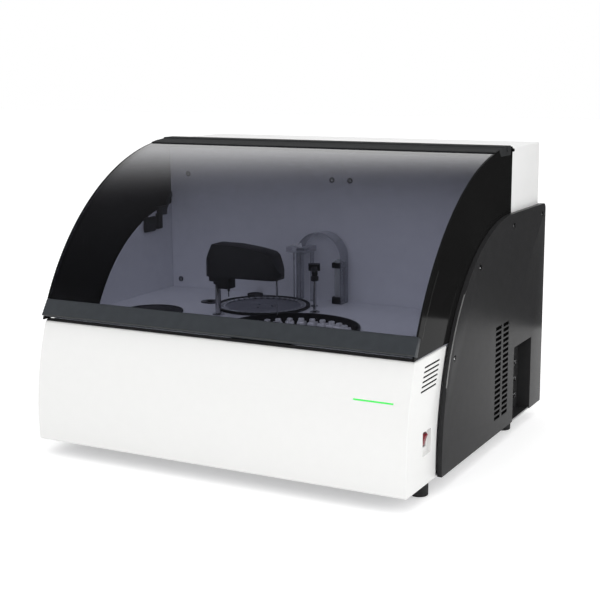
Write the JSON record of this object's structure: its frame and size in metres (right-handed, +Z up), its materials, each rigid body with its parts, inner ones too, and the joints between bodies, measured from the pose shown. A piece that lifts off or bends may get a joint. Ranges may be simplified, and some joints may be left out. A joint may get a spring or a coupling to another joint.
{
  "type": "benchtop chemistry analyzer",
  "caption": "Benchtop analyzer with a curved hinged clear lid over a reagent tray, a reaction rotor, a swinging sample probe, a stirrer, a wash head and a syringe.",
  "frame": {"origin": "on the ground, below the centre of the overall box", "axes": "+X to the right seen from the front, +Y to the rear, +Z up"},
  "size_m": [0.86, 0.77, 0.636],
  "materials": {
    "white_cover": "smooth white moulding",
    "white_paint": "white powder coat",
    "dark_paint": "dark grey powder coat",
    "grey_paint": "pale grey paint",
    "grey_plastic": "grey moulding",
    "black_gloss": "glossy black",
    "soft_black": "satin black",
    "foot_rubber": "black rubber",
    "green_light": "lit green light guide",
    "red_rocker": "red moulding",
    "smoked_clear": "smoked clear acrylic",
    "clear_plastic": "clear acrylic",
    "glass": "clear glass",
    "bottle_white": "white bottle plastic",
    "steel": "ground steel",
    "aluminium": "milled aluminium",
    "board_green": "circuit board"
  },
  "bodies": {
    "chassis": {"base_plate": "white_paint", "foot_front_left": "foot_rubber", "foot_front_right": "foot_rubber", "foot_rear_left": "foot_rubber", "foot_rear_right": "foot_rubber", "front_cover": "white_cover", "light_bar": "green_light", "switch_housing": "soft_black", "side_panel_left": "dark_paint", "side_panel_right": "dark_paint", "side_frame_left": "grey_paint", "side_frame_right": "grey_paint", "connector_recess": "dark_paint", "rear_housing": "white_paint", "rear_panel": "dark_paint", "power_inlet": "soft_black", "deck": "grey_paint", "back_wall": "grey_paint", "back_wall_upper": "grey_paint", "lid_seal": "foot_rubber", "hinge_bracket_left": "steel", "hinge_bracket_right": "steel", "lid_sensor": "soft_black", "reagent_bowl": "soft_black", "reaction_bath": "soft_black", "tray_motor": "soft_black", "rotor_motor": "soft_black", "probe_tower": "steel", "stirrer_tower": "steel", "wash_arch": "clear_plastic", "syringe_clamps": "soft_black", "syringe_barrel": "glass", "probe_wash_well": "soft_black", "stirrer_wash_well": "grey_plastic", "deck_plug": "foot_rubber", "photometer": "soft_black", "power_supply": "steel", "control_board": "board_green", "fan_housing": "soft_black"},
    "lid": {"lid_handle": "black_gloss", "lid_sheet": "smoked_clear", "lid_top_rail": "black_gloss", "lid_cheek_left": "black_gloss", "lid_cheek_right": "black_gloss"},
    "rocker": {"power_rocker": "red_rocker"},
    "tray": {"reagent_tray": "grey_plastic", "bottle_ring": "bottle_white"},
    "rotor": {"reaction_rotor": "grey_plastic", "cuvette_ring": "clear_plastic"},
    "probe_slide": {"probe_carriage": "aluminium"},
    "probe_arm": {"probe_column": "steel", "probe_arm_cover": "soft_black", "probe_needle": "steel"},
    "stirrer_slide": {"stirrer_carriage": "aluminium"},
    "stirrer_swing_arm": {"stirrer_arm": "soft_black"},
    "paddle": {"stirrer_paddle": "steel"},
    "wash_slide": {"wash_head": "grey_plastic"},
    "plunger": {"syringe_plunger": "soft_black"},
    "fan": {"fan_rotor": "soft_black"}
  },
  "joints": [
    {"name": "lid_hinge", "type": "hinge", "parent": "chassis", "child": "lid", "pos_m": [0, 0.1635, 0.626], "axis": [-1, 0, 0], "range_deg": [0, 70]},
    {"name": "power_switch", "type": "hinge", "parent": "chassis", "child": "rocker", "pos_m": [0.413, -0.2895, 0.12], "axis": [0, -1, 0], "range_deg": [0, 14]},
    {"name": "tray_spin", "type": "hinge", "parent": "chassis", "child": "tray", "pos_m": [0.083, -0.191, 0.211], "axis": [0, 0, 1], "continuous": true},
    {"name": "rotor_spin", "type": "hinge", "parent": "chassis", "child": "rotor", "pos_m": [-0.0864, -0.0076, 0.26], "axis": [0, 0, 1], "continuous": true},
    {"name": "probe_lift", "type": "slide", "parent": "chassis", "child": "probe_slide", "axis": [0, 0, 1], "range_m": [-0.034, 0]},
    {"name": "probe_swing", "type": "hinge", "parent": "probe_slide", "child": "probe_arm", "pos_m": [-0.129, -0.127, 0.2], "axis": [0, 0, -1], "range_deg": [-128.5, 45.6]},
    {"name": "stirrer_lift", "type": "slide", "parent": "chassis", "child": "stirrer_slide", "axis": [0, 0, 1], "range_m": [-0.032, 0]},
    {"name": "stirrer_swing", "type": "hinge", "parent": "stirrer_slide", "child": "stirrer_swing_arm", "pos_m": [0.046, -0.015, 0.2], "axis": [0, 0, 1], "range_deg": [0, 20.2]},
    {"name": "paddle_spin", "type": "hinge", "parent": "stirrer_swing_arm", "child": "paddle", "pos_m": [0.01408, 0.04504, 0.33], "axis": [0, 0, 1], "continuous": true},
    {"name": "wash_lift", "type": "slide", "parent": "chassis", "child": "wash_slide", "axis": [0, 0, 1], "range_m": [-0.026, 0]},
    {"name": "plunger_slide", "type": "slide", "parent": "chassis", "child": "plunger", "axis": [0, 0, 1], "range_m": [0, 0.045]},
    {"name": "fan_spin", "type": "hinge", "parent": "chassis", "child": "fan", "pos_m": [-0.06, 0.37, 0.2], "axis": [0, 1, 0], "continuous": true}
  ]
}
